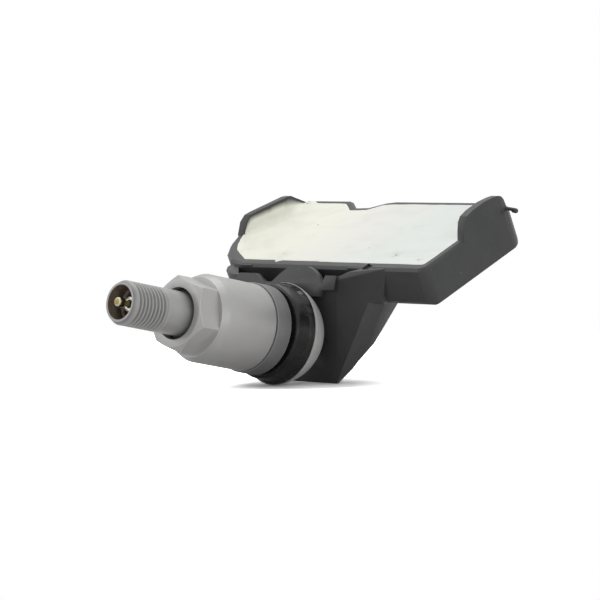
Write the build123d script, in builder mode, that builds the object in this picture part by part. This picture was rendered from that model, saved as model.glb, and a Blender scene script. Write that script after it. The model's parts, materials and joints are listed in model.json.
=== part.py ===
"""Clamp-in tyre pressure sensor: potted housing, aluminium valve on a ball foot, collar nut and grommet.

Frame: millimetres, +Z up, the sensor lying as it rests on a floor. X runs along the housing's long side,
-Y to the valve's tip. The origin is the bottom centre of the whole sensor's bounding box.
"""
import os
from math import cos, radians, sin, sqrt, tan

from build123d import *

# Angles
housing_tilt = 24.6          # potting face to the floor
valve_angle = 35.2           # valve axis to the potting face
tilt_range = 5.0             # how far the ball foot turns in its seat, each way

# Valve, measured along its axis from the centre of the ball foot
tip_s = 36.0                 # tip of the stem
thread_r = 3.85              # cap thread, outside
thread_length = 7.0
mouth_r = 3.0                # bore at the tip
core_thread_r = 2.6          # bore round the valve core
base_thread_r = 4.9          # thread that the collar nut runs on
neck_r = 4.4                 # stem inside the grommet
ball_r = 9.4                 # ball foot
ball_front_s = -2.0          # flat front of the ball foot, behind the grommet
screw_r = 2.0                # fixing screw
screw_hole_end_s = -4.6      # bottom of the tapped hole in the ball foot

# Grommet, ring and nut
hole_neck_r = 5.65           # grommet neck, fills the hole of the wheel rim
flange_r = 8.75              # thick disc against the ball foot
flange_front_s = 2.0
neck_front_s = 5.4
nut_back_s = 6.2
nut_front_s = 23.1
nut_barrel_r = 7.75
nut_barrel_front_s = 18.8
nut_hole_r = 4.54
nut_thread_r = 5.0
nut_hex_af = 12.0
nut_hex_turn = -17.0         # turn of the hexagon, degrees
ring_r = nut_barrel_r + 0.25
ring_back_s = 2.8
ring_front_s = nut_back_s - 0.05

# Housing, in its own plane: x along, y away from the valve, z out of the potting
rim_z = 6.8                  # rim of the potted tray
floor_z = -0.3               # underside of the tray
floor_t = 1.2
end_wall_z = 10.65           # top of the raised wall at the right end
left_wall_z = 9.9            # the same at the left end
wall_t = 1.6
corner_r = 4.3               # outer corner at the far right
near_y = 12.5                # wall next to the valve
far_y = 39.6
right_x = 28.6
seat_gap = 0.1               # ball foot to its seat
plate_s = -4.0               # front of the bracket's plate
plate_t = 1.2
washer_seat_r = ball_r + 3.2 # rear seat of the screw's washer, about the ball's centre
washer_t = 0.8
head_r = 3.4
head_t = 2.2

# Electronics
battery_r = 10.0
battery_t = 3.2
board_t = 0.8
board_z = 4.8                # underside of the board
port_x, port_y, port_r = -6.0, 22.0, 0.6

rise = valve_angle - housing_tilt                 # valve axis above the floor
ball_front_r = sqrt(ball_r**2 - ball_front_s**2)
centre_z = -ball_front_s * sin(radians(rise)) + ball_front_r * cos(radians(rise))
front_y = -tip_s * cos(radians(rise)) - thread_r * sin(radians(rise))
back_y = (far_y - 0.2) * cos(radians(housing_tilt)) - (floor_z + 2.2) * sin(radians(housing_tilt))
middle_x = (30.6 - 28.6) / 2
centre = (-middle_x, -(front_y + back_y) / 2, centre_z)

tilt_sin, tilt_cos = sin(radians(housing_tilt)), cos(radians(housing_tilt))
rise_sin, rise_cos = sin(radians(rise)), cos(radians(rise))
tray = Plane(origin=centre, x_dir=(1, 0, 0), z_dir=(0, -tilt_sin, tilt_cos))
tray_front = Plane(origin=centre, x_dir=(1, 0, 0), z_dir=(0, -tilt_cos, -tilt_sin))
tray_side = Plane(origin=centre, x_dir=(0, tilt_cos, tilt_sin), z_dir=(1, 0, 0))
valve = Plane(origin=centre, x_dir=(1, 0, 0), z_dir=(0, -rise_cos, rise_sin))
valve_radial = Plane(origin=centre, x_dir=(1, 0, 0), z_dir=(0, -rise_sin, -rise_cos))
valve_side = Plane(origin=centre, x_dir=(0, -rise_cos, rise_sin), z_dir=(-1, 0, 0))
valve_axis = Axis(centre, (0, -rise_cos, rise_sin))
ledge = Plane(origin=centre, z_dir=(0, rise_sin, rise_cos)).offset(7.05)

tray_outline = [
    (-16.5, near_y), (right_x, near_y), (right_x, far_y), (-0.4, far_y), (-2.6, far_y - 0.6),
    (-5.3, far_y - 2.6), (-8.6, far_y - 2.8), (-12.0, far_y + 0.1), (-23.2, far_y + 0.1), (-25.2, 37.6),
    (-25.0, 34.6), (-28.6, 24.4), (-26.8, 20.2), (-24.4, 16.8), (-21.0, 14.0),
]
potting_outline = [
    (-17.4, near_y + 2.1), (right_x - wall_t, near_y + 2.1), (right_x - wall_t, far_y - wall_t - 1.9),
    (right_x - wall_t - 1.9, far_y - wall_t), (-0.2, far_y - wall_t), (-2.4, far_y - 2.0),
    (-4.8, far_y - 4.1), (-9.2, far_y - 4.4), (-12.5, far_y - 1.5), (-22.6, far_y - 1.5),
    (-23.6, 37.0), (-23.4, 34.4), (-26.9, 24.5), (-24.9, 20.7), (-22.8, 18.2),
]


def turned(points):
    """Closed (radius, distance along the valve) outline in the valve's radial plane."""
    with BuildSketch(valve_radial) as profile:
        with BuildLine():
            Polyline(*points, close=True)
        make_face()
    return profile.sketch


def tray_area(points, z, corners=0.0):
    """Closed (x, y) outline in the tray's plane at height z, with rounded corners."""
    with BuildSketch(tray.offset(z)) as area:
        with BuildLine():
            Polyline(*points, close=True)
        make_face()
        if corners:
            fillet(area.vertices(), corners)
    return area.sketch


def tray_cut(point, normal):
    """Plane through a point of the tray's frame, facing along a direction of the tray's frame."""
    return Plane(origin=tray.from_local_coords(Vector(*point)),
                 z_dir=tray.from_local_coords(Vector(*normal)) - Vector(centre))


# Tools for the bracket's flanks: the sloping front wall at the right, its bevelled top, and the cut under
# each front corner
foot_corner = (6.3, 5.5, -12.5)
right_half = Plane(origin=centre, z_dir=(1, 0, 0))
with BuildPart() as flank_cut:
    with BuildSketch(tray_cut(foot_corner, (0.3197, -0.938, 0.1322))):
        Rectangle(80, 80)
    extrude(amount=15)
    split(bisect_by=right_half, keep=Keep.TOP)
with BuildPart() as bevel_cut:
    with BuildSketch(tray_cut((10.6, 10.2, rim_z - 0.45), (0.131, -0.579, 0.804))):
        Rectangle(80, 80)
    extrude(amount=15)
    split(bisect_by=right_half.offset(10.3), keep=Keep.TOP)
with BuildPart() as corner_cut:
    with BuildSketch(tray_cut(foot_corner, (0.739, -0.624, -0.255))):
        Rectangle(80, 80)
    extrude(amount=15)
    split(bisect_by=ledge, keep=Keep.BOTTOM)
with BuildPart() as corner_cut_left:
    add(mirror(corner_cut.part, about=right_half))

# Front plate of the bracket: the arch over the ball foot, with a lug at each side
lug_top = 10.95
with BuildPart() as front_plate:
    with BuildSketch(valve.offset(plate_s)):
        with BuildLine():
            Polyline((-15.2, 9.8), (-13.9, lug_top), (-9.8, lug_top), (-7.9, 9.5), (-5.6, 9.5), (-3.9, 10.9),
                     (-1.9, 12.2), (-0.6, 12.6), (3.0, 12.5), (4.4, 11.95), (5.5, 11.2), (6.3, 10.4),
                     (7.0, 9.5), (7.7, lug_top), (10.4, lug_top), (10.15, 8.4), (7.05, 8.3), (6.45, 7.2),
                     (4.6, 7.2), (0, 9.2), (-5, 7.2), (-9, 7.2), (-12, 8.0), close=True)
        make_face()
    extrude(amount=-plate_t)
    split(bisect_by=tray_cut((10.4, 9.63, 6.7), (0.873, 0.346, -0.343)), keep=Keep.BOTTOM)

# Bracket: the tapered foot in front of the tray that carries the ball seat
with BuildPart() as bracket:
    plan = [(-20.2, 17), (-20.2, 12.4), (-19.2, 11.0), (-17.6, 10.0), (-15.6, 9.6), (-10.3, 9.0),
            (-6.6, 4.4), (6.6, 4.4), (10.6, 6.4), (22.0, 11.0), (22.0, 17)]
    extrude(tray_area(plan, -14.5), amount=14.5 + rim_z - 0.1)
    with BuildSketch(tray_front):
        with BuildLine():
            Polyline((19.4, 7), (19.4, 5.8), (17.7, 0.5), (16.6, floor_z), (11.4, -8.0), (10.4, -9.2),
                     (8.8, -10.9), (4.6, -14.0), (4.6, -15), (-4.6, -15), (-4.6, -14.0), (-8.8, -10.9),
                     (-10.4, -9.2), (-11.4, -8.0), (-16.6, floor_z), (-20.2, 5.6), (-20.2, 7), close=True)
        make_face()
    extrude(amount=-30, mode=Mode.INTERSECT)
    with BuildSketch(tray_side):
        with BuildLine():
            Polyline((9.8, 7), (5.45, -12.6), (5.2, -14), (5.6, -14), (8.8, -9.9), (12.2, -8.0),
                     (17.0, -2.4), (17.0, 0.4), (13.4, 0.4), (13.4, 7), close=True)
        make_face()
    extrude(amount=25, both=True, mode=Mode.INTERSECT)
    add(flank_cut.part, mode=Mode.SUBTRACT)
    add(bevel_cut.part, mode=Mode.SUBTRACT)
    add(corner_cut.part, mode=Mode.SUBTRACT)
    add(corner_cut_left.part, mode=Mode.SUBTRACT)
    # Front wall cut level with the lugs, and the left corner stepped down from the tray's rim
    with BuildSketch(valve.offset(plate_s + 1)):
        with Locations(((10.4 - 13.9) / 2, lug_top + 2)):
            Rectangle(10.4 + 13.9, 4)
    extrude(amount=-4, mode=Mode.SUBTRACT)
    corner = [(-13.9, 8), (-13.9, near_y), (-16.5, near_y), (-23, near_y + 2), (-23, 8)]
    extrude(tray_area(corner, rim_z - 0.6), amount=2, mode=Mode.SUBTRACT)
    # Pocket between the front wall and the tray
    pocket = [(-15.2, 10.2), (10.7, 10.2), (12.5, 11.4), (14.0, near_y), (-17.4, near_y)]
    extrude(tray_area(pocket, -0.2), amount=9, mode=Mode.SUBTRACT)
    # Dips in the front wall between the arch and the lugs
    with BuildSketch(valve.offset(plate_s + 1)):
        with BuildLine():
            Polyline((-9.8, lug_top), (-7.9, 9.5), (-5.6, 9.5), (-3.9, 10.9), (-3.9, 14), (-9.8, 14),
                     close=True)
        make_face()
        with BuildLine():
            Polyline((5.5, 11.2), (6.3, 10.4), (7.0, 9.5), (7.7, lug_top), (7.7, 14), (5.5, 14),
                     close=True)
        make_face()
    extrude(amount=-4.6, mode=Mode.SUBTRACT)
    add(front_plate.part)
    # Keep the foot level with the floor
    split(bisect_by=Plane.XY, keep=Keep.TOP)

# Raised wall at the left end
with BuildPart() as left_wall:
    strip = [(-28.6, 24.4), (-25.0, 34.6), (-25.2, 38.8), (-23.6, 38.8), (-23.4, 34.4), (-26.9, 24.4)]
    extrude(tray_area(strip, rim_z - 1), amount=5)
    with BuildSketch(tray_side):
        with BuildLine():
            Polyline((24.0, 5), (24.4, rim_z), (25.6, left_wall_z - 1.0), (26.8, left_wall_z - 0.1),
                     (28.0, left_wall_z), (34.6, left_wall_z), (35.6, left_wall_z - 0.3),
                     (38.8, rim_z), (39, 5), close=True)
        make_face()
    extrude(amount=40, both=True, mode=Mode.INTERSECT)

# Raised wall at the right end
with BuildPart() as end_wall:
    with BuildSketch(tray_side.offset(right_x - wall_t)):
        with BuildLine():
            Polyline((23.8, rim_z - 1), (24.2, rim_z), (24.8, rim_z + 1.4), (25.6, end_wall_z - 1.05),
                     (26.5, end_wall_z - 0.35), (28.2, end_wall_z - 0.05), (31.6, end_wall_z),
                     (34.0, end_wall_z - 0.3), (35.4, end_wall_z - 0.6), (36.2, end_wall_z - 1.05),
                     (36.8, end_wall_z - 1.9), (37.0, rim_z + 0.7), (37.0, rim_z - 1), close=True)
        make_face()
    extrude(amount=wall_t)
    plan = [(10, 15), (right_x, 15), (right_x, far_y), (10, far_y)]
    extrude(tray_area(plan, rim_z - 2, corner_r), amount=8, mode=Mode.INTERSECT)

# Rear groove that the screw's washer slides in when the valve is tilted
with BuildPart() as washer_groove:
    with BuildSketch(valve_side):
        Circle(24)
        Circle(washer_seat_r, mode=Mode.SUBTRACT)
        with Locations((-18, 0)):
            Rectangle(16, 11.4, mode=Mode.INTERSECT)
    extrude(amount=4.5, both=True)

# Housing
with BuildPart() as housing:
    with BuildSketch(tray.offset(floor_z)) as tray_sketch:
        with BuildLine():
            Polyline(*tray_outline, close=True)
        make_face()
        far_right = tray_sketch.vertices().sort_by(Axis.X)[-2:].sort_by(Axis.Y)[-1]
        fillet(far_right, corner_r)
        near_right = tray_sketch.vertices().sort_by(Axis.X)[-2:].sort_by(Axis.Y)[0]
        fillet(near_right, 1.8)
        fillet([v for v in tray_sketch.vertices() if v.X < centre[0] + 20], 0.8)
    extrude(amount=rim_z - floor_z)
    with BuildSketch(tray_side):
        with BuildLine():
            Polyline((5, floor_z + 0.8), (near_y, floor_z + 0.8), (near_y + 0.8, floor_z),
                     (far_y - 3.6, floor_z), (far_y - 2.4, floor_z + 0.2), (far_y - 1.0, floor_z + 1.0),
                     (far_y - 0.2, floor_z + 2.2), (far_y + 0.4, floor_z + 4), (far_y + 0.4, 8), (5, 8),
                     close=True)
        make_face()
    extrude(amount=40, both=True, mode=Mode.INTERSECT)
    chamfer(housing.faces().sort_by(Axis(centre, tray.z_dir))[-1].outer_wire().edges(), 0.5)
    add(left_wall.part)
    add(end_wall.part)
    add(bracket.part)
    # Gate notch in the near rim
    with Locations(tray.location * Location((15.0, near_y + 0.9, rim_z))):
        Box(1.7, 2.4, 0.9, mode=Mode.SUBTRACT)
    # Small moulded tab at the far corner, with a drop-shaped end
    with Locations(tray_cut((right_x - 0.8, 36.75, rim_z + 0.25), (0.97, 0.1, -0.2))):
        Cylinder(0.32, 2.4, align=(Align.CENTER, Align.CENTER, Align.MIN))
    for reach in (1.1, 1.55):
        with Locations(tray.location * Location((right_x + reach, 37.0, rim_z - 0.1 - 0.2 * reach))):
            Sphere(0.45)
    # Tray for the electronics
    extrude(tray_area(potting_outline, floor_z + floor_t, 0.6), amount=12, mode=Mode.SUBTRACT)
    # Pressure port through the floor
    with Locations(tray.location * Location((port_x, port_y, 0))):
        Cylinder(port_r, 6, mode=Mode.SUBTRACT)
    # Ball seat, room for the grommet's flange, slot and groove for the fixing screw
    with Locations(Location(centre)):
        Sphere(ball_r + seat_gap, mode=Mode.SUBTRACT)
    revolve(turned([(0, -3.4), (flange_r + 0.85, -3.4), (flange_r + 0.85, 6), (0, 6)]), axis=valve_axis,
            mode=Mode.SUBTRACT)
    with BuildSketch(valve.offset(-8)):
        slot_w = 2 * (screw_r + 0.4)
        SlotOverall(slot_w + 2 * washer_seat_r * tan(radians(tilt_range)), slot_w, rotation=90)
    extrude(amount=-8, mode=Mode.SUBTRACT)
    add(washer_groove.part, mode=Mode.SUBTRACT)
housing.part.label = "housing"

# Valve stem with its ball foot
with BuildPart() as valve_stem:
    with BuildSketch(valve_radial) as stem_profile:
        with BuildLine():
            thread_back_s = tip_s - 0.8 - thread_length
            Polyline((0, -screw_r), (0, tip_s), (3.4, tip_s), (thread_r, tip_s - 0.8),
                     (thread_r, thread_back_s), (thread_r - 0.45, thread_back_s),
                     (thread_r - 0.45, thread_back_s - 0.4), (thread_r, thread_back_s - 0.5),
                     (thread_r, 21.6), (base_thread_r, 20.4), (base_thread_r, 5.6), (neck_r, 5.5),
                     (neck_r, ball_front_s), (ball_front_r, ball_front_s))
            ThreePointArc((ball_front_r, ball_front_s),
                          (ball_r * sin(radians(45)), -ball_r * cos(radians(45))), (0, -ball_r))
            Line((0, -ball_r), (0, -screw_r))
        make_face()
    revolve(axis=valve_axis)
    # Bore for the core, air passage with its side hole, and the tapped hole for the fixing screw
    revolve(turned([(0, -3.4), (1.4, -3.4), (1.4, 16.4), (2.0, 17.0), (2.0, 26.4), (core_thread_r, 27.4),
                    (core_thread_r, 32.6), (mouth_r, 33.0), (mouth_r, tip_s + 1), (0, tip_s + 1)]),
            axis=valve_axis, mode=Mode.SUBTRACT)
    revolve(turned([(0, -ball_r - 0.6), (screw_r, -ball_r - 0.6), (screw_r, screw_hole_end_s),
                    (0, screw_hole_end_s + 0.8)]), axis=valve_axis, mode=Mode.SUBTRACT)
    with BuildSketch(Plane(origin=centre, x_dir=valve.y_dir, z_dir=(-1, 0, 0))):
        with Locations((0, 2.95)):
            Circle(0.8)
    extrude(amount=12, mode=Mode.SUBTRACT)
valve_stem.part.label = "valve_stem"

# Grommet that seals the hole of the rim
with BuildPart() as grommet:
    revolve(turned([(neck_r + 0.03, ball_front_s + 0.03), (flange_r, ball_front_s + 0.03),
                    (flange_r - 0.3, flange_front_s - 0.6), (flange_r - 0.45, flange_front_s - 0.25),
                    (flange_r - 0.8, flange_front_s - 0.1), (6.2, flange_front_s),
                    (hole_neck_r, flange_front_s + 0.2),
                    (hole_neck_r, neck_front_s - 0.3),
                    (hole_neck_r - 0.3, neck_front_s), (neck_r + 0.03, neck_front_s)]),
            axis=valve_axis)
grommet.part.label = "grommet"

# Ring between the nut and the rim
with BuildPart() as washer_ring:
    revolve(turned([(hole_neck_r + 0.3, ring_back_s), (ring_r - 0.15, ring_back_s),
                    (ring_r, ring_back_s + 0.15), (ring_r, ring_front_s),
                    (hole_neck_r + 0.3, ring_front_s)]), axis=valve_axis)
washer_ring.part.label = "washer_ring"

# Collar nut: hexagon in front, long barrel behind
with BuildPart() as collar_nut:
    with BuildSketch(valve.offset(nut_barrel_front_s - 0.5)):
        RegularPolygon(nut_hex_af / 2, 6, major_radius=False, rotation=nut_hex_turn)
    extrude(amount=nut_front_s - nut_barrel_front_s + 0.5)
    revolve(turned([(0, 15), (7.2, 15), (7.2, 22.0), (5.8, nut_front_s), (0, nut_front_s)]),
            axis=valve_axis, mode=Mode.INTERSECT)
    revolve(turned([(nut_thread_r, nut_back_s), (nut_barrel_r - 0.2, nut_back_s),
                    (nut_barrel_r, nut_back_s + 0.2), (nut_barrel_r, nut_barrel_front_s - 1.7),
                    (nut_barrel_r - 0.7, nut_barrel_front_s), (nut_thread_r, nut_barrel_front_s)]),
            axis=valve_axis)
    revolve(turned([(0, 5), (hole_neck_r + 0.3, 5), (hole_neck_r + 0.3, 7.4), (nut_thread_r, 7.9),
                    (nut_thread_r, 21.4), (nut_hole_r, 21.9), (nut_hole_r, 25), (0, 25)]),
            axis=valve_axis, mode=Mode.SUBTRACT)
collar_nut.part.label = "collar_nut"

# Fixing screw through the slot into the ball foot, with its saddle washer
with BuildPart() as fixing_screw:
    head_s = -(washer_seat_r + 0.05 + washer_t + 0.25)
    screw_tip_s = screw_hole_end_s - 1.0
    revolve(turned([(0, screw_tip_s), (screw_r - 0.35, screw_tip_s), (screw_r - 0.02, screw_tip_s - 0.4),
                    (screw_r - 0.02, head_s), (head_r, head_s), (head_r, head_s - head_t + 0.4),
                    (head_r - 0.4, head_s - head_t), (0, head_s - head_t)]), axis=valve_axis)
    with BuildSketch(valve.offset(head_s - head_t)):
        RegularPolygon(1.5, 6)
    extrude(amount=1.3, mode=Mode.SUBTRACT)
fixing_screw.part.label = "fixing_screw"

with BuildPart() as screw_washer:
    with BuildSketch(valve.offset(head_s + 0.01)):
        Circle(4.4)
        Circle(screw_r + 0.15, mode=Mode.SUBTRACT)
    extrude(amount=1.6)
    with Locations(tray_side.location):
        Cylinder(washer_seat_r + 0.05, 20, mode=Mode.SUBTRACT)
screw_washer.part.label = "screw_washer"

# Valve core: plug with its bridge, barrel, gasket, pin, spring and sealing cup
with BuildPart() as core_plug:
    revolve(turned([(1.0, 28.6), (core_thread_r - 0.05, 28.6), (core_thread_r - 0.05, 31.6), (1.0, 31.6)]),
            axis=valve_axis)
    with BuildSketch(valve.offset(29.6)):
        with GridLocations(0, 4.2, 1, 2):
            Rectangle(2.0, 1.6)
    extrude(amount=4, mode=Mode.SUBTRACT)
    with BuildSketch(valve.offset(31.5)):
        with GridLocations(3.9, 0, 2, 1):
            Rectangle(0.5, 1.5)
    extrude(amount=2.4)
    with BuildSketch(valve.offset(33.4)):
        Rectangle(4.4, 1.5)
        Circle(1.25)
        Circle(0.75, mode=Mode.SUBTRACT)
    extrude(amount=0.5)
core_plug.part.label = "core_plug"

with BuildPart() as core_barrel:
    revolve(turned([(0.8, 20.2), (1.7, 20.2), (1.7, 26.0), (2.1, 27.3), (2.3, 27.5), (2.3, 28.55),
                    (0.8, 28.55), (0.8, 28.0), (1.4, 28.0), (1.4, 20.8), (0.8, 20.8)]), axis=valve_axis)
core_barrel.part.label = "core_barrel"

with BuildPart() as core_gasket:
    revolve(turned([(1.73, 25.2), (1.95, 25.2), (1.95, 26.35), (2.25, 26.87), (2.1, 27.15),
                    (1.73, 25.98)]), axis=valve_axis)
core_gasket.part.label = "core_gasket"

with BuildPart() as core_pin:
    revolve(turned([(0, 18.6), (0.5, 18.6), (0.5, 27.0), (1.2, 27.0), (1.2, 27.4), (0.5, 27.4),
                    (0.5, 35.1), (0.8, 35.3), (0.8, 36.45), (0.65, 36.6), (0, 36.6)]), axis=valve_axis)
core_pin.part.label = "core_pin"

with BuildPart() as core_cup:
    revolve(turned([(0.52, 18.7), (1.25, 18.7), (1.6, 19.2), (1.6, 20.15), (0.52, 20.15)]),
            axis=valve_axis)
core_cup.part.label = "core_cup"

with BuildPart() as core_spring:
    with BuildLine() as coil:
        Helix(pitch=1.15, height=5.6, radius=1.0, center=valve.offset(21.1).origin, direction=valve.z_dir)
    with BuildSketch(Plane(origin=coil.line @ 0, z_dir=coil.line % 0)):
        RegularPolygon(0.18, 6)
    sweep(path=coil.line)
core_spring.part.label = "core_spring"

# Electronics inside the tray
with BuildPart() as battery_cell:
    with Locations(tray.location * Location((14.2, 26.3, 1.4))):
        Cylinder(battery_r, battery_t, align=(Align.CENTER, Align.CENTER, Align.MIN))
battery_cell.part.label = "battery_cell"

with BuildPart() as battery_tab_under:
    extrude(tray_area([(1.8, 24.8), (14.0, 24.8), (14.0, 27.8), (1.8, 27.8)], 1.2), amount=0.18)
    extrude(tray_area([(1.8, 24.8), (2.1, 24.8), (2.1, 27.8), (1.8, 27.8)], 1.2), amount=board_z - 1.2)
battery_tab_under.part.label = "battery_tab_under"

with BuildPart() as battery_tab_over:
    extrude(tray_area([(14.0, 24.8), (26.2, 24.8), (26.2, 27.8), (14.0, 27.8)], 4.61), amount=0.17)
battery_tab_over.part.label = "battery_tab_over"

board_outline = [
    (-16.0, 16.0), (25.8, 16.0), (25.8, 36.8), (0.4, 36.8), (-4.2, 34.2), (-9.6, 34.0), (-13.0, 36.8),
    (-21.6, 36.8), (-22.2, 34.2), (-25.2, 24.8), (-23.4, 21.0), (-21.4, 19.0),
]
with BuildPart() as circuit_board:
    extrude(tray_area(board_outline, board_z), amount=board_t)
circuit_board.part.label = "circuit_board"

with BuildPart() as sensor_chip:
    extrude(tray_area([(-9.5, 19.5), (-2.5, 19.5), (-2.5, 24.5), (-9.5, 24.5)], 3.0),
            amount=board_z - 3.0)
    with Locations(tray.location * Location((port_x, port_y, 3.0))):
        Cylinder(0.5, 1.0, mode=Mode.SUBTRACT)
sensor_chip.part.label = "sensor_chip"

with BuildPart() as port_seal:
    with Locations(tray.location * Location((port_x, port_y, floor_z + floor_t))):
        Cylinder(2.2, 3.0 - floor_z - floor_t, align=(Align.CENTER, Align.CENTER, Align.MIN))
        Cylinder(0.9, 9, mode=Mode.SUBTRACT)
port_seal.part.label = "port_seal"

with BuildPart() as timing_crystal:
    extrude(tray_area([(-8.0, 28.0), (-4.0, 28.0), (-4.0, 30.0), (-8.0, 30.0)], 3.9),
            amount=board_z - 3.9)
timing_crystal.part.label = "timing_crystal"

with BuildPart() as coil_core:
    extrude(tray_area([(-19.0, 20.6), (-18.0, 20.6), (-18.0, 22.0), (-13.0, 22.0), (-13.0, 20.6),
                       (-12.0, 20.6), (-12.0, 25.4), (-13.0, 25.4), (-13.0, 24.0), (-18.0, 24.0),
                       (-18.0, 25.4), (-19.0, 25.4)], 2.2), amount=board_z - 2.2)
coil_core.part.label = "coil_core"

with BuildPart() as coil_winding:
    extrude(tray_area([(-17.95, 21.2), (-13.05, 21.2), (-13.05, 24.8), (-17.95, 24.8)], 1.6),
            amount=board_z - 1.8)
    extrude(tray_area([(-18.0, 22.0), (-13.0, 22.0), (-13.0, 24.0), (-18.0, 24.0)], 2.2),
            amount=board_z - 2.2, mode=Mode.SUBTRACT)
coil_winding.part.label = "coil_winding"

with BuildPart() as antenna_loop:
    with BuildSketch(tray_front.offset(-31.6)):
        with BuildLine():
            Polyline((-21.0, board_z), (-21.0, 2.0), (-11.0, 2.0), (-11.0, board_z), (-11.6, board_z),
                     (-11.6, 2.6), (-20.4, 2.6), (-20.4, board_z), close=True)
        make_face()
    extrude(amount=-1.6)
antenna_loop.part.label = "antenna_loop"

with BuildPart() as chip_capacitors:
    for x, y in ((-8.0, 17.4), (-4.6, 17.4), (-1.2, 17.4), (-0.2, 21.0), (-0.2, 31.0)):
        extrude(tray_area([(x - 0.8, y - 0.4), (x + 0.8, y - 0.4), (x + 0.8, y + 0.4), (x - 0.8, y + 0.4)],
                          4.0), amount=board_z - 4.0)
chip_capacitors.part.label = "chip_capacitors"

# Potting cast round the electronics
embedded = [battery_cell, battery_tab_under, battery_tab_over, circuit_board, sensor_chip, port_seal,
            timing_crystal, coil_core, coil_winding, antenna_loop, chip_capacitors]
with BuildPart() as potting_fill:
    extrude(tray_area(potting_outline, floor_z + floor_t, 0.6), amount=rim_z - 0.1 - floor_z - floor_t)
    for piece in embedded:
        add(piece.part, mode=Mode.SUBTRACT)
    with Locations(tray.location * Location((port_x, port_y, 0.9))):
        Cylinder(0.95, 2.7, align=(Align.CENTER, Align.CENTER, Align.MIN), mode=Mode.SUBTRACT)
potting_fill.part.label = "potting_fill"

os.makedirs("parts", exist_ok=True)
export_step(housing.part, "parts/housing.step")
export_step(potting_fill.part, "parts/potting_fill.step")
export_step(circuit_board.part, "parts/circuit_board.step")
export_step(battery_cell.part, "parts/battery_cell.step")
export_step(battery_tab_under.part, "parts/battery_tab_under.step")
export_step(battery_tab_over.part, "parts/battery_tab_over.step")
export_step(sensor_chip.part, "parts/sensor_chip.step")
export_step(port_seal.part, "parts/port_seal.step")
export_step(timing_crystal.part, "parts/timing_crystal.step")
export_step(coil_core.part, "parts/coil_core.step")
export_step(coil_winding.part, "parts/coil_winding.step")
export_step(antenna_loop.part, "parts/antenna_loop.step")
export_step(chip_capacitors.part, "parts/chip_capacitors.step")
export_step(valve_stem.part, "parts/valve_stem.step")
export_step(grommet.part, "parts/grommet.step")
export_step(washer_ring.part, "parts/washer_ring.step")
export_step(collar_nut.part, "parts/collar_nut.step")
export_step(fixing_screw.part, "parts/fixing_screw.step")
export_step(screw_washer.part, "parts/screw_washer.step")
export_step(core_plug.part, "parts/core_plug.step")
export_step(core_barrel.part, "parts/core_barrel.step")
export_step(core_gasket.part, "parts/core_gasket.step")
export_step(core_pin.part, "parts/core_pin.step")
export_step(core_cup.part, "parts/core_cup.step")
export_step(core_spring.part, "parts/core_spring.step")
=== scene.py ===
"""Looks of the tyre pressure sensor: eased edges, cap thread, core spring, cast potting, materials, floor,
light and camera."""
import json
from math import cos, exp, hypot, pi, radians, sin

import bmesh
import bpy
from mathutils import Matrix, Vector, noise
from mathutils.geometry import delaunay_2d_cdt


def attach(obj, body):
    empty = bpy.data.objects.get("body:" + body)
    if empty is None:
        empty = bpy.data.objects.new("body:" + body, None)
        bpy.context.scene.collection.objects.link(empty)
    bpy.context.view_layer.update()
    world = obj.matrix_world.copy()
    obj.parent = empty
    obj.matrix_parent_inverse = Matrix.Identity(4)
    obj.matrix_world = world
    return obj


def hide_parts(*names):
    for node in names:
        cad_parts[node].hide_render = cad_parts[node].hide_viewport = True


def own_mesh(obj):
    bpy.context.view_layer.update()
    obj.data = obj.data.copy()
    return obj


MM = 0.001

# Angles of the part, as in its source
HOUSING_TILT = radians(24.6)
RISE = radians(10.6)

# Places along the valve are in mm from the centre of the ball foot, and radii in mm from the valve's axis

# Cap thread, the lengths over which it fades out, and how finely it is cut
THREAD_R = 3.85
THREAD_DEPTH = 0.40
THREAD_PITCH = 25.4 / 32
THREAD_START = 27.7
THREAD_END = 35.2
INNER_FADE = 1.2
TIP_FADE = 0.4
STEPS_PER_TURN = 96
ROWS_PER_PITCH = 10

# Limits that tell the stem's surfaces apart
BORE_R = 3.05      # the bore is within this radius
BORE_START = 26    # and beyond this place
WALL_R = 3.3       # the thread's wall is outside this radius
ROOT_R = 3.4       # just within the thread's root
FOOT_R = 4.3       # the ball foot is outside this radius
FOOT_FRONT = -1.8  # and behind this place

# Rear edge of the grommet's flange, and the radius that it spreads to
FLANGE_EDGE_R = 8.7
FLANGE_REAR = -1.9
FLARED_R = 9.15

# Potting, in the tray's frame in mm
FILL_Z = 6.7
RIM_Z = 6.8
LEFT_WALL_Z = 9.9  # top of the raised left wall
WALL_DIP_Y = 34.9  # where that top begins to fall
WALL_DIP = 0.8     # its fall in mm for each mm along the wall
POTTING_OUTLINE = [
    (-17.4, 14.6), (27.0, 14.6), (27.0, 36.1), (25.1, 38.0), (-0.2, 38.0), (-2.4, 37.6), (-4.8, 35.5),
    (-9.2, 35.2), (-12.5, 38.1), (-22.6, 38.1), (-23.6, 37.0), (-23.4, 34.4), (-26.9, 24.5), (-24.9, 20.7),
    (-22.8, 18.2),
]
LEFT_WALL = [(-26.85, 24.7), (-25.8, 27.6), (-24.6, 31.0), (-23.25, 34.4), (-23.4, 36.2), (-23.6, 38.3)]

# The resin's rounded edge: inset from its outline and height, where None stands for the open surface
EDGE_STEPS = ((0.12, RIM_Z + 0.07), (0.3, RIM_Z + 0.09), (0.65, RIM_Z + 0.04), (1.15, None))

# Grid of points on the open surface: first point, row distance, counts, limits, and least distance to the edge
GRID_X, GRID_Y, ROW_STEP = -28, 15.4, 0.87
GRID_ROWS, GRID_COLUMNS = 28, 56
GRID_LEFT, GRID_RIGHT, GRID_FAR = -26.6, 26, 37.6
GRID_MARGIN = 1.6

# Way that the bracket's flank faces, and how much painted light its flat faces get
BRACKET_FLANK = (0.739, -0.624, -0.255)
FLANK_PAINTED_LIGHT = 0.6

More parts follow.
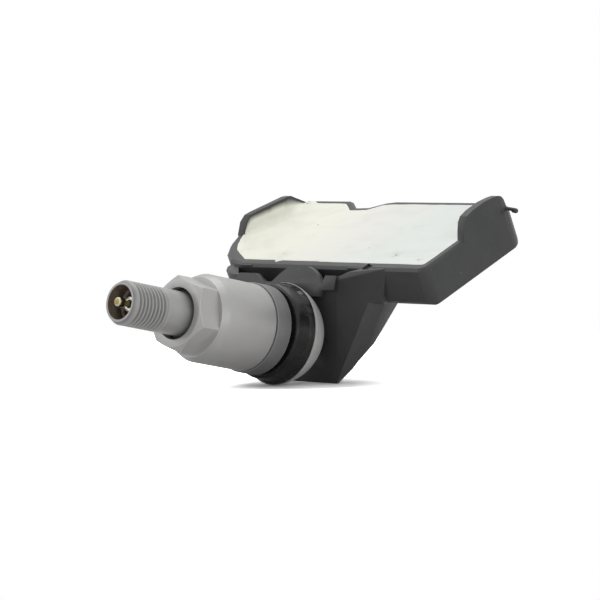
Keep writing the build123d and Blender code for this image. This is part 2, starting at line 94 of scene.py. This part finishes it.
# Camera, fitted to the photograph
CAMERA_IN_TRAY = (375.2, -319.8, 180.0)
CAMERA_RIGHT = Vector((0.70515, 0.70906, -0.00403)).normalized()
CAMERA_UP = Vector((-0.03079, 0.03630, 0.99887)).normalized()
LENS = 178.6

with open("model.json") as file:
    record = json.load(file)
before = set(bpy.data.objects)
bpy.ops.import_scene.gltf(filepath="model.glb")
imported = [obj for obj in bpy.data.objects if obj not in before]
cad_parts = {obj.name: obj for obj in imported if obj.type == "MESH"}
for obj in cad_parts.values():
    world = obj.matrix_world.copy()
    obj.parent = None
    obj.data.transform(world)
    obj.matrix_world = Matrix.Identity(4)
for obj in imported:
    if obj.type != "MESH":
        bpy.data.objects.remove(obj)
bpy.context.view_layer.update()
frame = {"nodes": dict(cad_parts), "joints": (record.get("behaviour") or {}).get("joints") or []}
nodes = frame["nodes"]
centre = Vector(next(joint for joint in frame["joints"] if joint["name"] == "stem_tilt")["pos_m"])


def local_frame(y_axis, z_axis):
    """Matrix from mm about the ball's centre, along X and these two axes, to the row frame in metres."""
    axes = Matrix((Vector((1, 0, 0)), Vector(y_axis), Vector(z_axis))).transposed().to_4x4()
    return Matrix.Translation(centre) @ axes @ Matrix.Scale(MM, 4)


tray = local_frame((0, cos(HOUSING_TILT), sin(HOUSING_TILT)), (0, -sin(HOUSING_TILT), cos(HOUSING_TILT)))
valve = local_frame((0, sin(RISE), cos(RISE)), (0, -cos(RISE), sin(RISE)))


# Meshes
def make_piece(name, bm, body, sharp=35):
    """Object from a bmesh in the row frame, riding on a body."""
    mesh = bpy.data.meshes.new(name)
    bm.normal_update()
    bm.to_mesh(mesh)
    bm.free()
    mesh.shade_smooth()
    mesh.set_sharp_from_angle(angle=radians(sharp))
    piece = bpy.data.objects.new(name, mesh)
    bpy.context.scene.collection.objects.link(piece)
    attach(piece, body)
    return piece


def cad_mesh(node):
    bm = bmesh.new()
    bm.from_mesh(nodes[node].data)
    bmesh.ops.remove_doubles(bm, verts=bm.verts, dist=1e-6)
    return bm


def ease_edges(bm, width, angle):
    """Rounds every edge sharper than angle, and marks the new faces in an attribute that makes them lighter, for
    wear and a painted highlight.
    """
    bmesh.ops.dissolve_limit(bm, angle_limit=radians(0.5), verts=bm.verts, edges=bm.edges)
    edges = [e for e in bm.edges if len(e.link_faces) == 2 and e.calc_face_angle(0) > radians(angle)]
    bevelled = bmesh.ops.bevel(bm, geom=edges, offset=width * MM, segments=2, profile=0.5, affect="EDGES",
                               clamp_overlap=True)
    wear_and_painted_light = bm.loops.layers.float_color.new("wear_and_painted_light")
    marked = set(bevelled["faces"])
    for face in bm.faces:
        value = 1.0 if face in marked else 0.0
        for loop in face.loops:
            loop[wear_and_painted_light] = (value, value, value, 1)


def eased(node, body, width, material, angle=25):
    bm = cad_mesh(node)
    ease_edges(bm, width, angle)
    piece = make_piece(node + "_eased", bm, body)
    piece.data.materials.append(material)
    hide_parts(node)
    return piece


def paint_light_on_facing_faces(piece, facing, amount):
    """Painted light: a lighter tone on the flat faces of a piece that face one way in the tray's frame."""
    normal = (tray.to_3x3() @ Vector(facing)).normalized()
    wear_and_painted_light = piece.data.color_attributes["wear_and_painted_light"].data
    for polygon in piece.data.polygons:
        if polygon.normal.dot(normal) > 0.98:
            for loop in polygon.loop_indices:
                wear_and_painted_light[loop].color = (amount, amount, amount, 1)


# Materials
class Shader:
    """A material under construction, with its principled shader and the helpers that feed it."""

    def __init__(self, name, **inputs):
        self.material = bpy.data.materials.new(name)
        self.material.use_nodes = True
        self.tree = self.material.node_tree
        self.principled = self.tree.nodes["Principled BSDF"]
        for label, value in inputs.items():
            self.principled.inputs[label.replace("_", " ")].default_value = value

    def node(self, kind, **sockets):
        made = self.tree.nodes.new(kind)
        for label, value in sockets.items():
            socket = made.inputs[label]
            if isinstance(value, bpy.types.NodeSocket):
                self.tree.links.new(value, socket)
            else:
                socket.default_value = value
        return made

    def feed(self, label, value):
        self.tree.links.new(value, self.principled.inputs[label])

    def place(self, scale=(1, 1, 1), turn=0.0):
        """Coordinates in mm, turned about X, then scaled."""
        source = self.tree.nodes.new("ShaderNodeTexCoord").outputs["Object"]
        turned = self.node("ShaderNodeMapping", Vector=source, Rotation=(turn, 0, 0), Scale=(1 / MM,) * 3)
        return self.node("ShaderNodeMapping", Vector=turned.outputs[0], Scale=scale).outputs[0]

    def noise(self, place, scale, detail=3.0, distortion=0.0):
        return self.node("ShaderNodeTexNoise", Vector=place, Scale=scale, Detail=detail,
                         Distortion=distortion).outputs["Fac"]

    def ramp(self, value, *stops):
        made = self.node("ShaderNodeValToRGB", Fac=value)
        elements = made.color_ramp.elements
        while len(elements) < len(stops):
            elements.new(0.5)
        for element, (position, colour) in zip(elements, stops):
            element.position = position
            element.color = (*colour, 1)
        return made.outputs["Color"]

    def remap(self, value, low, high, start=0.0, end=1.0):
        made = self.node("ShaderNodeMapRange", Value=value)
        for label, number in (("From Min", start), ("From Max", end), ("To Min", low), ("To Max", high)):
            made.inputs[label].default_value = number
        return made.outputs["Result"]

    def mix(self, factor, first, second):
        """Mix of two colours; sockets 0, 6 and 7 are its factor and colours, and output 2 its result."""
        made = self.tree.nodes.new("ShaderNodeMix")
        made.data_type = "RGBA"
        for number, value in ((0, factor), (6, first), (7, second)):
            if isinstance(value, bpy.types.NodeSocket):
                self.tree.links.new(value, made.inputs[number])
            else:
                made.inputs[number].default_value = value if number == 0 else (*value, 1)
        return made.outputs[2]

    def attribute(self, name):
        made = self.tree.nodes.new("ShaderNodeAttribute")
        made.attribute_name = name
        return made.outputs["Fac"]

    def bump(self, *layers):
        """Bump from (height, distance in mm) layers, one on top of the other."""
        normal = None
        for height, distance in layers:
            made = self.node("ShaderNodeBump", Height=height, Distance=distance * MM)
            if normal:
                self.tree.links.new(normal, made.inputs["Normal"])
            normal = made.outputs["Normal"]
        self.feed("Normal", normal)


def grey(value, warm=0.0):
    return (value * (1 + warm), value, value * (1 - warm))


def moulded_black(name="black_moulding", dark=0.028, light=0.037, gloss=(0.38, 0.54)):
    """Glass-filled black plastic: fine grain, faint flow clouds, a few pale dust specks, edges polished lighter
    by wear with a painted highlight.
    """
    shader = Shader(name)
    place = shader.place()
    clouds = shader.noise(place, 0.12, 4)
    fine = shader.noise(place, 7.0, 4)
    dust = shader.ramp(shader.noise(place, 2.3, 2), (0.74, grey(0)), (0.77, grey(1)))
    base = shader.ramp(clouds, (0.35, grey(dark, -0.01)), (0.65, grey(light, -0.02)))
    # Marked faces are lighter: worn edges with a painted highlight, and painted light on the bracket's flank
    edges = shader.mix(shader.attribute("wear_and_painted_light"), base, grey(light * 2.2))
    shader.feed("Base Color", shader.mix(dust, edges, grey(0.11, 0.03)))
    shader.feed("Roughness", shader.remap(fine, gloss[0], gloss[1], 0.3, 0.7))
    shader.bump((clouds, 0.05), (fine, 0.012))
    return shader.material


def machined(name, dark, light, gloss, warm=0.0, rings=0.004, pits=0.006, edge=1.2, metallic=1.0):
    """Turned metal: fine rings round the valve's axis, slight tone clouds and a matt, finely pitted skin, with
    marked faces lighter by edge for wear and a painted highlight.
    """
    shader = Shader(name, Metallic=metallic)
    along = shader.place((0.5, 0.5, 9.0), -(pi / 2 - RISE))
    clouds = shader.noise(shader.place(), 0.3, 4)
    turning = shader.noise(along, 1.0, 3)
    fine = shader.noise(shader.place(), 11.0, 3)
    base = shader.ramp(clouds, (0.3, grey(dark, warm)), (0.7, grey(light, warm)))
    # Marked faces are lighter by edge: worn edges with a painted highlight, and on the thread the crests against
    # painted shade in its roots
    shader.feed("Base Color", shader.mix(shader.attribute("wear_and_painted_light"), base, grey(min(1, light * edge), warm)))
    shader.feed("Roughness", shader.remap(fine, gloss[0], gloss[1], 0.3, 0.7))
    shader.bump((turning, rings), (fine, pits))
    return shader.material


def rubber(name="grommet_rubber"):
    """Shiny black rubber with faint mould smears."""
    shader = Shader(name, Specular_IOR_Level=0.3)
    place = shader.place()
    smears = shader.noise(place, 0.5, 4, 0.6)
    fine = shader.noise(place, 6.0, 2)
    shader.feed("Base Color", shader.ramp(smears, (0.3, grey(0.008)), (0.7, grey(0.014))))
    shader.feed("Roughness", shader.remap(smears, 0.16, 0.30, 0.3, 0.7))
    shader.bump((smears, 0.03), (fine, 0.004))
    return shader.material


def cast_potting(name="cast_potting"):
    """Off-white resin: yellowish towards the left end, cooler to the right, with faint grey stains and painted
    shade at its near left corner.
    The attribute coat fades it into the black wall that it creeps up."""
    shader = Shader(name)
    place = shader.place()
    stains = shader.noise(shader.place((0.6, 1.0, 1.0)), 0.16, 5, 0.8)
    fine = shader.noise(place, 1.6, 4)
    across = shader.node("ShaderNodeSeparateXYZ", Vector=place).outputs["X"]
    tint = shader.ramp(shader.remap(across, 0, 1, -28, 28),
                       (0.0, (0.86, 0.87, 0.75)), (0.28, (0.87, 0.87, 0.76)), (0.5, (0.82, 0.81, 0.76)),
                       (0.72, (0.76, 0.80, 0.76)), (1.0, (0.78, 0.82, 0.79)))
    stained_and_shaded = shader.mix(shader.remap(stains, 0.0, 0.4, 0.5, 0.8), tint, (0.62, 0.64, 0.60))
    # Darker patches: stains, and painted shade at the near left corner
    for x, y, reach, depth in STAINS_AND_CORNER_SHADE:
        patch = shader.node("ShaderNodeVectorMath", Vector=place)
        patch.operation = "DISTANCE"
        patch.inputs[1].default_value = (tray @ Vector((x, y, FILL_Z))) / MM
        ragged = shader.node("ShaderNodeMath")
        ragged.operation = "ADD"
        shader.tree.links.new(patch.outputs["Value"], ragged.inputs[0])
        shader.tree.links.new(shader.remap(fine, -1.2, 1.2, 0.3, 0.7), ragged.inputs[1])
        fade = shader.remap(ragged.outputs[0], depth, 0.0, 0.0, reach)
        stained_and_shaded = shader.mix(fade, stained_and_shaded, (0.42, 0.46, 0.42))
    shader.feed("Base Color", shader.mix(shader.attribute("coat"), stained_and_shaded, grey(0.03)))
    shader.feed("Roughness", shader.remap(fine, 0.34, 0.5, 0.3, 0.7))
    shader.bump((shader.noise(place, 0.22, 3), 0.25), (fine, 0.012))
    return shader.material


def plain_finish(name, dark, light, gloss, metallic=0.0, scale=1.5, depth=0.006):
    """Small inner parts: two close tones in clouds with a fine grain."""
    shader = Shader(name, Metallic=metallic)
    place = shader.place()
    fine = shader.noise(place, scale * 6, 3)
    shader.feed("Base Color", shader.ramp(shader.noise(place, scale, 3), (0.35, dark), (0.65, light)))
    shader.feed("Roughness", shader.remap(fine, gloss[0], gloss[1], 0.3, 0.7))
    shader.bump((fine, depth))
    return shader.material


# Grey smudges in the resin: place, reach in mm and depth. The two at the near left corner, at x -25.0 and -21.0,
# are painted shade; the rest are stains.
STAINS_AND_CORNER_SHADE = [(-9.4, 16.6, 2.2, 0.30), (3.9, 20.6, 1.8, 0.10), (17.6, 18.0, 1.3, 0.35), (-12.0, 16.4, 2.5, 0.12),
          (24.4, 16.2, 0.9, 0.3), (-25.0, 22.0, 2.2, 0.16), (-21.0, 17.6, 1.8, 0.16), (10.5, 21.0, 3.0, 0.10)]

black = moulded_black()
aluminium = machined("satin_aluminium", 0.39, 0.41, (0.42, 0.52), 0.01, metallic=0.5)
ring_grey = machined("grey_anodising", 0.165, 0.185, (0.5, 0.6), edge=1.3, metallic=0.5)
nickel = machined("matt_nickel", 0.34, 0.38, (0.38, 0.48), 0.01, rings=0.006, metallic=0.7)
# The cap thread's finish: painted shade, darker than the stem and lighter towards the crests by edge
thread_with_painted_shade = machined("thread_with_painted_shade", 0.18, 0.21, (0.5, 0.64), 0.01, edge=1.75, metallic=0.5)
blasted = machined("blasted_aluminium", 0.42, 0.48, (0.55, 0.66), 0.01, metallic=0.2)
bore_skin = machined("bore_skin", 0.18, 0.23, (0.36, 0.5), 0.22, metallic=0.7)
brass = machined("turned_brass", 0.5, 0.6, (0.28, 0.4))
rubber_black = rubber()
potting = cast_potting()
steel = machined("zinc_plate", 0.42, 0.5, (0.28, 0.4))
core_metal = machined("core_plate", 0.5, 0.6, (0.25, 0.36), 0.03)


def brass_tone(material, dark, light):
    """Gives a machined material a yellow base."""
    ramp = next(n for n in material.node_tree.nodes if n.type == "VALTORGB")
    for element, colour in zip(ramp.color_ramp.elements, (dark, light)):
        element.color = (*colour, 1)


brass_tone(brass, (0.24, 0.19, 0.05), (0.30, 0.235, 0.06))

NODE_MATERIALS = {
    "potting_fill": potting,
    "circuit_board": plain_finish("solder_mask", (0.01, 0.10, 0.04), (0.015, 0.13, 0.05), (0.3, 0.45)),
    "battery_cell": steel,
    "battery_tab_under": steel,
    "battery_tab_over": steel,
    "sensor_chip": plain_finish("chip_epoxy", grey(0.02), grey(0.03), (0.5, 0.6)),
    "port_seal": plain_finish("seal_silicone", (0.30, 0.03, 0.02), (0.36, 0.05, 0.03), (0.5, 0.6)),
    "timing_crystal": steel,
    "coil_core": plain_finish("ferrite", grey(0.03), grey(0.045), (0.5, 0.65)),
    "coil_winding": plain_finish("enamelled_wire", (0.55, 0.22, 0.09), (0.7, 0.3, 0.13), (0.3, 0.4), 1.0),
    "antenna_loop": steel,
    "chip_capacitors": plain_finish("capacitor_body", (0.42, 0.28, 0.16), (0.5, 0.34, 0.2), (0.4, 0.5)),
    "core_barrel": brass,
    "core_gasket": rubber_black,
    "core_cup": rubber_black,
}
for node, material in NODE_MATERIALS.items():
    nodes[node].data.materials.clear()
    nodes[node].data.materials.append(material)


# Grommet and spring
def flared_grommet():
    """Grommet whose soft flange spreads a little over the front edge of the ball foot."""
    bm = cad_mesh("grommet")
    to_valve = valve.inverted()
    for vert in bm.verts:
        x, y, s = to_valve @ vert.co
        if hypot(x, y) > FLANGE_EDGE_R and s < FLANGE_REAR:
            spread = FLARED_R / hypot(x, y)
            vert.co = valve @ Vector((x * spread, y * spread, s))
    ease_edges(bm, 0.25, 15)
    piece = make_piece("flared_grommet", bm, "valve")
    piece.data.materials.append(rubber_black)
    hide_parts("grommet")


def compressed_spring():
    """Spring of the valve core, copied into a mesh of its own on the valve; the real spring shortens as the pin
    goes in, and this copy keeps its CAD shape.
    """
    piece = make_piece("compressed_spring", cad_mesh("core_spring"), "valve")
    piece.data.materials.append(core_metal)
    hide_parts("core_spring")
    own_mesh(piece)


# Valve stem with its cap thread
def thread_radius(turns):
    """Radius of the 60 degree thread at a place counted in pitches from a crest."""
    place = abs((turns + 0.5) % 1.0 - 0.5) * 2
    return THREAD_R - THREAD_DEPTH * min(1.0, max(0.0, (place - 0.16) / 0.68))


def threaded_stem():
    """Stem with its thread's wall cut anew, and its bore, thread and ball foot in finishes of their own."""
    bm = cad_mesh("valve_stem")
    to_valve = valve.inverted()

    def radius_and_s(vert):
        spot = to_valve @ vert.co
        return hypot(spot.x, spot.y), spot.z

    def on_thread(face):
        return all(r > WALL_R and THREAD_START - 0.01 < s < THREAD_END + 0.01
                   for r, s in map(radius_and_s, face.verts))

    bmesh.ops.delete(bm, geom=[f for f in bm.faces if on_thread(f)], context="FACES")
    ease_edges(bm, 0.1, 40)
    rows = round((THREAD_END - THREAD_START) / THREAD_PITCH * ROWS_PER_PITCH)
    rings = []
    for row in range(rows + 1):
        s = THREAD_START + (THREAD_END - THREAD_START) * row / rows
        fade = min(1.0, (THREAD_END - s) / TIP_FADE, (s - THREAD_START) / INNER_FADE)
        ring = []
        for step in range(STEPS_PER_TURN):
            angle = 2 * pi * step / STEPS_PER_TURN
            r = THREAD_R + (thread_radius(s / THREAD_PITCH - angle / (2 * pi)) - THREAD_R) * fade
            ring.append(bm.verts.new(valve @ Vector((r * cos(angle), r * sin(angle), s))))
        rings.append(ring)
    for low, high in zip(rings, rings[1:]):
        for step in range(STEPS_PER_TURN):
            other = (step + 1) % STEPS_PER_TURN
            bm.faces.new((low[step], low[other], high[other], high[step]))
    wear_and_painted_light = bm.loops.layers.float_color["wear_and_painted_light"]
    for face in bm.faces:
        spots = list(map(radius_and_s, face.verts))
        if all(r < BORE_R and s > BORE_START for r, s in spots):
            face.material_index = 1
        elif all(s > THREAD_START - 0.01 for r, s in spots):
            face.material_index = 2
            # Painted shade: the thread's tone darkens from its crest to its root; the stem's tip takes the crest
            # tone
            for loop, (r, s) in zip(face.loops, spots):
                crest = 1 - min(1.0, max(0.0, (THREAD_R - r) / THREAD_DEPTH)) if r > ROOT_R else 1.0
                loop[wear_and_painted_light] = (crest, crest, crest, 1)
        elif all(r > FOOT_R and s < FOOT_FRONT for r, s in spots):
            face.material_index = 3
    piece = make_piece("threaded_stem", bm, "valve", sharp=40)
    for material in (nickel, bore_skin, thread_with_painted_shade, blasted):
        piece.data.materials.append(material)
    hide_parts("valve_stem")


threaded_stem()
eased("collar_nut", "nut", 0.18, aluminium)
eased("washer_ring", "ring", 0.12, ring_grey)
flared_grommet()
# Painted light on the bracket's flank: its flat faces take a lighter tone
paint_light_on_facing_faces(eased("housing", "housing", 0.14, black), BRACKET_FLANK, FLANK_PAINTED_LIGHT)
eased("fixing_screw", "valve", 0.1, steel)
eased("screw_washer", "valve", 0.08, steel)
eased("core_plug", "valve", 0.05, core_metal)
eased("core_pin", "core_pin", 0.06, brass)
compressed_spring()


# Potting
def smoothed(points, closed=True, rounds=2):
    """Corner cutting that keeps the ends of an open line."""
    for _ in range(rounds):
        pairs = list(zip(points, points[1:] + points[:1])) if closed else list(zip(points, points[1:]))
        cut = [tuple(a * (1 - t) + b * t for a, b in zip(p, q)) for p, q in pairs for t in (0.25, 0.75)]
        points = cut if closed else [points[0]] + cut + [points[-1]]
    return points


def resampled(points, step):
    """Points about every step mm along a closed line."""
    result = []
    for (ax, ay), (bx, by) in zip(points, points[1:] + points[:1]):
        count = max(1, round(hypot(bx - ax, by - ay) / step))
        result += [(ax + (bx - ax) * part / count, ay + (by - ay) * part / count) for part in range(count)]
    return result


def outward(points):
    """Outward normal at each point of a closed anticlockwise line."""
    result = []
    for (ax, ay), (bx, by) in zip(points[-1:] + points[:-1], points[1:] + points[:1]):
        length = hypot(bx - ax, by - ay)
        result.append(((by - ay) / length, (ax - bx) / length))
    return result


def lap(x, y):
    """How far the resin laps over the rim at a place on its edge, in mm: least on the near left rim, with a drip
    on the near rim and a pool at the far left corner."""
    usual = 0.06 if y < 22 and x < 2 else 0.2
    wander = usual + 0.12 * noise.noise(Vector((x * 0.35, y * 0.35, 3.1)))
    drip = 0.8 * exp(-((x + 8.6) / 0.5) ** 2) if y < 16 else 0.0
    far_corner = 0.85 * exp(-((x + 22.0) / 1.4) ** 4) if y > 37 else 0.0
    return wander + drip + far_corner


def surface_z(x, y):
    """Height of the open resin, with its slight waves."""
    return FILL_Z + 0.05 + 0.045 * noise.noise(Vector((x * 0.16, y * 0.16, 0.4)))


def edge_distance(x, y, line):
    """Distance from a place to a closed line."""
    best = 1e9
    for (ax, ay), (bx, by) in zip(line, line[1:] + line[:1]):
        dx, dy = bx - ax, by - ay
        t = max(0.0, min(1.0, ((x - ax) * dx + (y - ay) * dy) / (dx * dx + dy * dy)))
        best = min(best, (x - ax - t * dx) ** 2 + (y - ay - t * dy) ** 2)
    return best ** 0.5


def potting_skin():
    """The cast surface: slightly wavy, with a rounded edge that laps onto the rim."""
    steps = smoothed(resampled(POTTING_OUTLINE, 1.2), rounds=1)
    normals = outward(steps)
    outline = [(x + nx * lap(x, y), y + ny * lap(x, y)) for (x, y), (nx, ny) in zip(steps, normals)]
    spots, heights = [Vector(spot) for spot in outline], [RIM_Z + 0.015] * len(outline)
    count = len(outline)
    border = [(i, (i + 1) % count) for i in range(count)]
    for inset, z in EDGE_STEPS:
        for (x, y), (nx, ny) in zip(outline, normals):
            spot = (x - nx * inset, y - ny * inset)
            if edge_distance(*spot, outline) > inset * 0.94:
                spots.append(Vector(spot))
                heights.append(z or surface_z(*spot) + 0.02)
    for row in range(GRID_ROWS):
        for column in range(GRID_COLUMNS):
            x, y = GRID_X + column + 0.5 * (row % 2), GRID_Y + ROW_STEP * row
            inside = GRID_LEFT < x < GRID_RIGHT and y < GRID_FAR
            if inside and edge_distance(x, y, outline) > GRID_MARGIN:
                spots.append(Vector((x, y)))
                heights.append(surface_z(x, y))
    verts, _, faces, origins, _, _ = delaunay_2d_cdt(spots, border, [list(range(count))], 1, 1e-4)
    bm = bmesh.new()
    made = []
    for vert, origin in zip(verts, origins):
        z = heights[origin[0]] if origin else surface_z(*vert)
        made.append(bm.verts.new(tray @ Vector((vert.x, vert.y, z))))
    for face in faces:
        bm.faces.new([made[i] for i in face])
    return make_piece("potting_skin", bm, "housing", sharp=80)


def potting_creep():
    """Resin drawn up the inner face of the raised left wall, thinning to nothing near its top."""
    path = smoothed(LEFT_WALL, closed=False, rounds=2)
    columns = 12
    bm = bmesh.new()
    coat = bm.verts.layers.float.new("coat")
    grid = []
    for index, (x, y) in enumerate(path):
        before, after = path[max(0, index - 1)], path[min(len(path) - 1, index + 1)]
        length = hypot(after[0] - before[0], after[1] - before[1])
        inward = ((after[1] - before[1]) / length, -(after[0] - before[0]) / length)
        wall_top = LEFT_WALL_Z - max(0.0, y - WALL_DIP_Y) * WALL_DIP
        # It climbs from the wall's near end, and stays a little below the wall's top
        rise = max(0.3, min(3.0, 1.5 * (y - 24.4), wall_top - FILL_Z - 0.35))
        rise -= 0.25 * abs(noise.noise(Vector((y * 0.7, 0, 0))))
        line = []
        for step in range(columns + 1):
            t = step / columns
            away = 0.03 + 2.6 * (1 - t) ** 2.4
            spot = (x + inward[0] * away, y + inward[1] * away)
            z = FILL_Z + 0.03 + max(0.0, rise) * t ** 1.7
            vert = bm.verts.new(tray @ Vector((*spot, z)))
            # The black wall shows through from this share of the height on, sooner at the far end
            start = 0.80 - 0.18 * min(1.0, max(0.0, (y - 33.0) / 2.0))
            vert[coat] = min(1.0, max(0.0, (t - start) / (1 - start))) ** 0.8
            line.append(vert)
        grid.append(line)
    for low, high in zip(grid, grid[1:]):
        for step in range(columns):
            bm.faces.new((low[step], low[step + 1], high[step + 1], high[step]))
    return make_piece("potting_creep", bm, "housing", sharp=80)


# Dirt caught in the resin: place and size of each speck in mm
SPECKS = [
    (-11.7, 29.2, 0.20), (-9.4, 25.4, 0.13), (9.0, 20.4, 0.17), (17.7, 17.9, 0.22), (24.3, 16.4, 0.18),
    (0.0, 29.5, 0.08), (0.4, 32.9, 0.08), (6.5, 28.1, 0.10), (-17.3, 31.6, 0.07), (13.6, 37.0, 0.10),
    (17.2, 18.3, 0.10), (18.3, 18.0, 0.09), (25.2, 16.8, 0.08),
]


def dirt_specks():
    """Low ragged cones that stand a little out of the resin."""
    corners = 9
    bm = bmesh.new()
    for number, (x, y, size) in enumerate(SPECKS):
        z = surface_z(x, y)
        top = bm.verts.new(tray @ Vector((x, y, z + size * 0.4)))
        ring = []
        for step in range(corners):
            angle = 2 * pi * step / corners
            reach = size * (0.8 + 0.5 * noise.noise(Vector((step * 1.7, number * 2.3, 0.5))))
            spot = Vector((x + reach * 1.3 * cos(angle), y + reach * sin(angle), z - 0.03))
            ring.append(bm.verts.new(tray @ spot))
        for step in range(corners):
            bm.faces.new((top, ring[step], ring[(step + 1) % corners]))
    return make_piece("resin_specks", bm, "housing")


for piece in (potting_skin(), potting_creep()):
    piece.data.materials.append(potting)
specks = dirt_specks()
dirt = plain_finish("dark_dirt", (0.03, 0.035, 0.025), (0.06, 0.07, 0.05), (0.6, 0.8))
specks.data.materials.append(dirt)


# Floor, world, lights and camera
CONTACT = (1.6, 5.4, 0.0)   # middle of the sensor's feet, in mm
SHADOW_RING = (9, 18)       # distances from there, in mm, between which the floor turns lighter to the camera
SHADOW_TONES = (1.7, 4.0)   # its tones at those two distances
PLAIN_WHITE = (90, 160)     # distances between which it turns to plain white
LAMP_AIM = (0, 0, 0.015)    # point that the lamps face, in m


def white_floor():
    """A pale floor that the camera sees as plain white, but for the shadow close under the sensor."""
    shader = Shader("pale_floor", Roughness=0.9)
    seen = shader.tree.nodes.new("ShaderNodeLightPath").outputs["Is Camera Ray"]
    flat = shader.node("ShaderNodeVectorMath", Vector=shader.place())
    flat.operation = "DISTANCE"
    flat.inputs[1].default_value = CONTACT
    far = shader.remap(flat.outputs["Value"], 0, 1, *PLAIN_WHITE)
    diffuse = shader.node("ShaderNodeBsdfDiffuse")
    lit = shader.mix(shader.remap(flat.outputs["Value"], 0, 1, *SHADOW_RING), *map(grey, SHADOW_TONES))
    shader.tree.links.new(shader.mix(seen, grey(0.85), lit), diffuse.inputs["Color"])
    white = shader.node("ShaderNodeEmission", Strength=1.0)
    beyond = shader.node("ShaderNodeMath")
    beyond.operation = "MULTIPLY"
    shader.tree.links.new(far, beyond.inputs[0])
    shader.tree.links.new(seen, beyond.inputs[1])
    blend = shader.tree.nodes.new("ShaderNodeMixShader")
    shader.tree.links.new(beyond.outputs[0], blend.inputs[0])
    shader.tree.links.new(diffuse.outputs[0], blend.inputs[1])
    shader.tree.links.new(white.outputs[0], blend.inputs[2])
    shader.tree.links.new(blend.outputs[0], shader.tree.nodes["Material Output"].inputs["Surface"])
    mesh = bpy.data.meshes.new("floor")
    mesh.from_pydata([(-1, -1, 0), (1, -1, 0), (1, 1, 0), (-1, 1, 0)], [], [(0, 1, 2, 3)])
    mesh.materials.append(shader.material)
    floor = bpy.data.objects.new("floor", mesh)
    bpy.context.scene.collection.objects.link(floor)


def studio_world(ambient):
    """White to the camera and in reflections, ambient in strength for everything else."""
    world = bpy.data.worlds.new("studio")
    bpy.context.scene.world = world
    world.use_nodes = True
    tree = world.node_tree
    path = tree.nodes.new("ShaderNodeLightPath")
    seen = path.outputs["Is Camera Ray"]
    for name in ("Is Glossy Ray", "Is Transmission Ray"):
        larger = tree.nodes.new("ShaderNodeMath")
        larger.operation = "MAXIMUM"
        tree.links.new(seen, larger.inputs[0])
        tree.links.new(path.outputs[name], larger.inputs[1])
        seen = larger.outputs[0]
    level = tree.nodes.new("ShaderNodeMapRange")
    level.inputs["To Min"].default_value = ambient
    tree.links.new(seen, level.inputs["Value"])
    background = tree.nodes["Background"]
    background.inputs["Color"].default_value = (1, 1, 1, 1)
    tree.links.new(level.outputs["Result"], background.inputs["Strength"])


def softbox(name, place, size, power):
    """Rectangular lamp at a place, with its size in m and its power in W."""
    data = bpy.data.lights.new(name, "AREA")
    data.shape = "RECTANGLE"
    data.size, data.size_y = size
    data.energy = power
    lamp = bpy.data.objects.new(name, data)
    lamp.location = place
    lamp.rotation_euler = (Vector(LAMP_AIM) - Vector(place)).to_track_quat("-Z", "Y").to_euler()
    bpy.context.scene.collection.objects.link(lamp)


def fitted_camera():
    data = bpy.data.cameras.new("camera")
    data.lens = LENS
    data.sensor_width = 36
    data.clip_start = 0.01
    camera = bpy.data.objects.new("camera", data)
    axes = Matrix((CAMERA_RIGHT, CAMERA_UP, CAMERA_RIGHT.cross(CAMERA_UP))).transposed().to_4x4()
    camera.matrix_world = Matrix.Translation(tray @ Vector(CAMERA_IN_TRAY)) @ axes
    bpy.context.scene.collection.objects.link(camera)
    bpy.context.scene.camera = camera


white_floor()
studio_world(ambient=0.62)
softbox("overhead", (-0.12, 0.10, 0.55), (0.45, 0.40), 1.15)
softbox("front_left", (-0.45, -0.45, 0.30), (0.40, 0.40), 0.5)
softbox("right_low", (0.50, -0.10, 0.08), (0.30, 0.16), 0.3)
fitted_camera()
bpy.context.scene.view_settings.view_transform = "Standard"
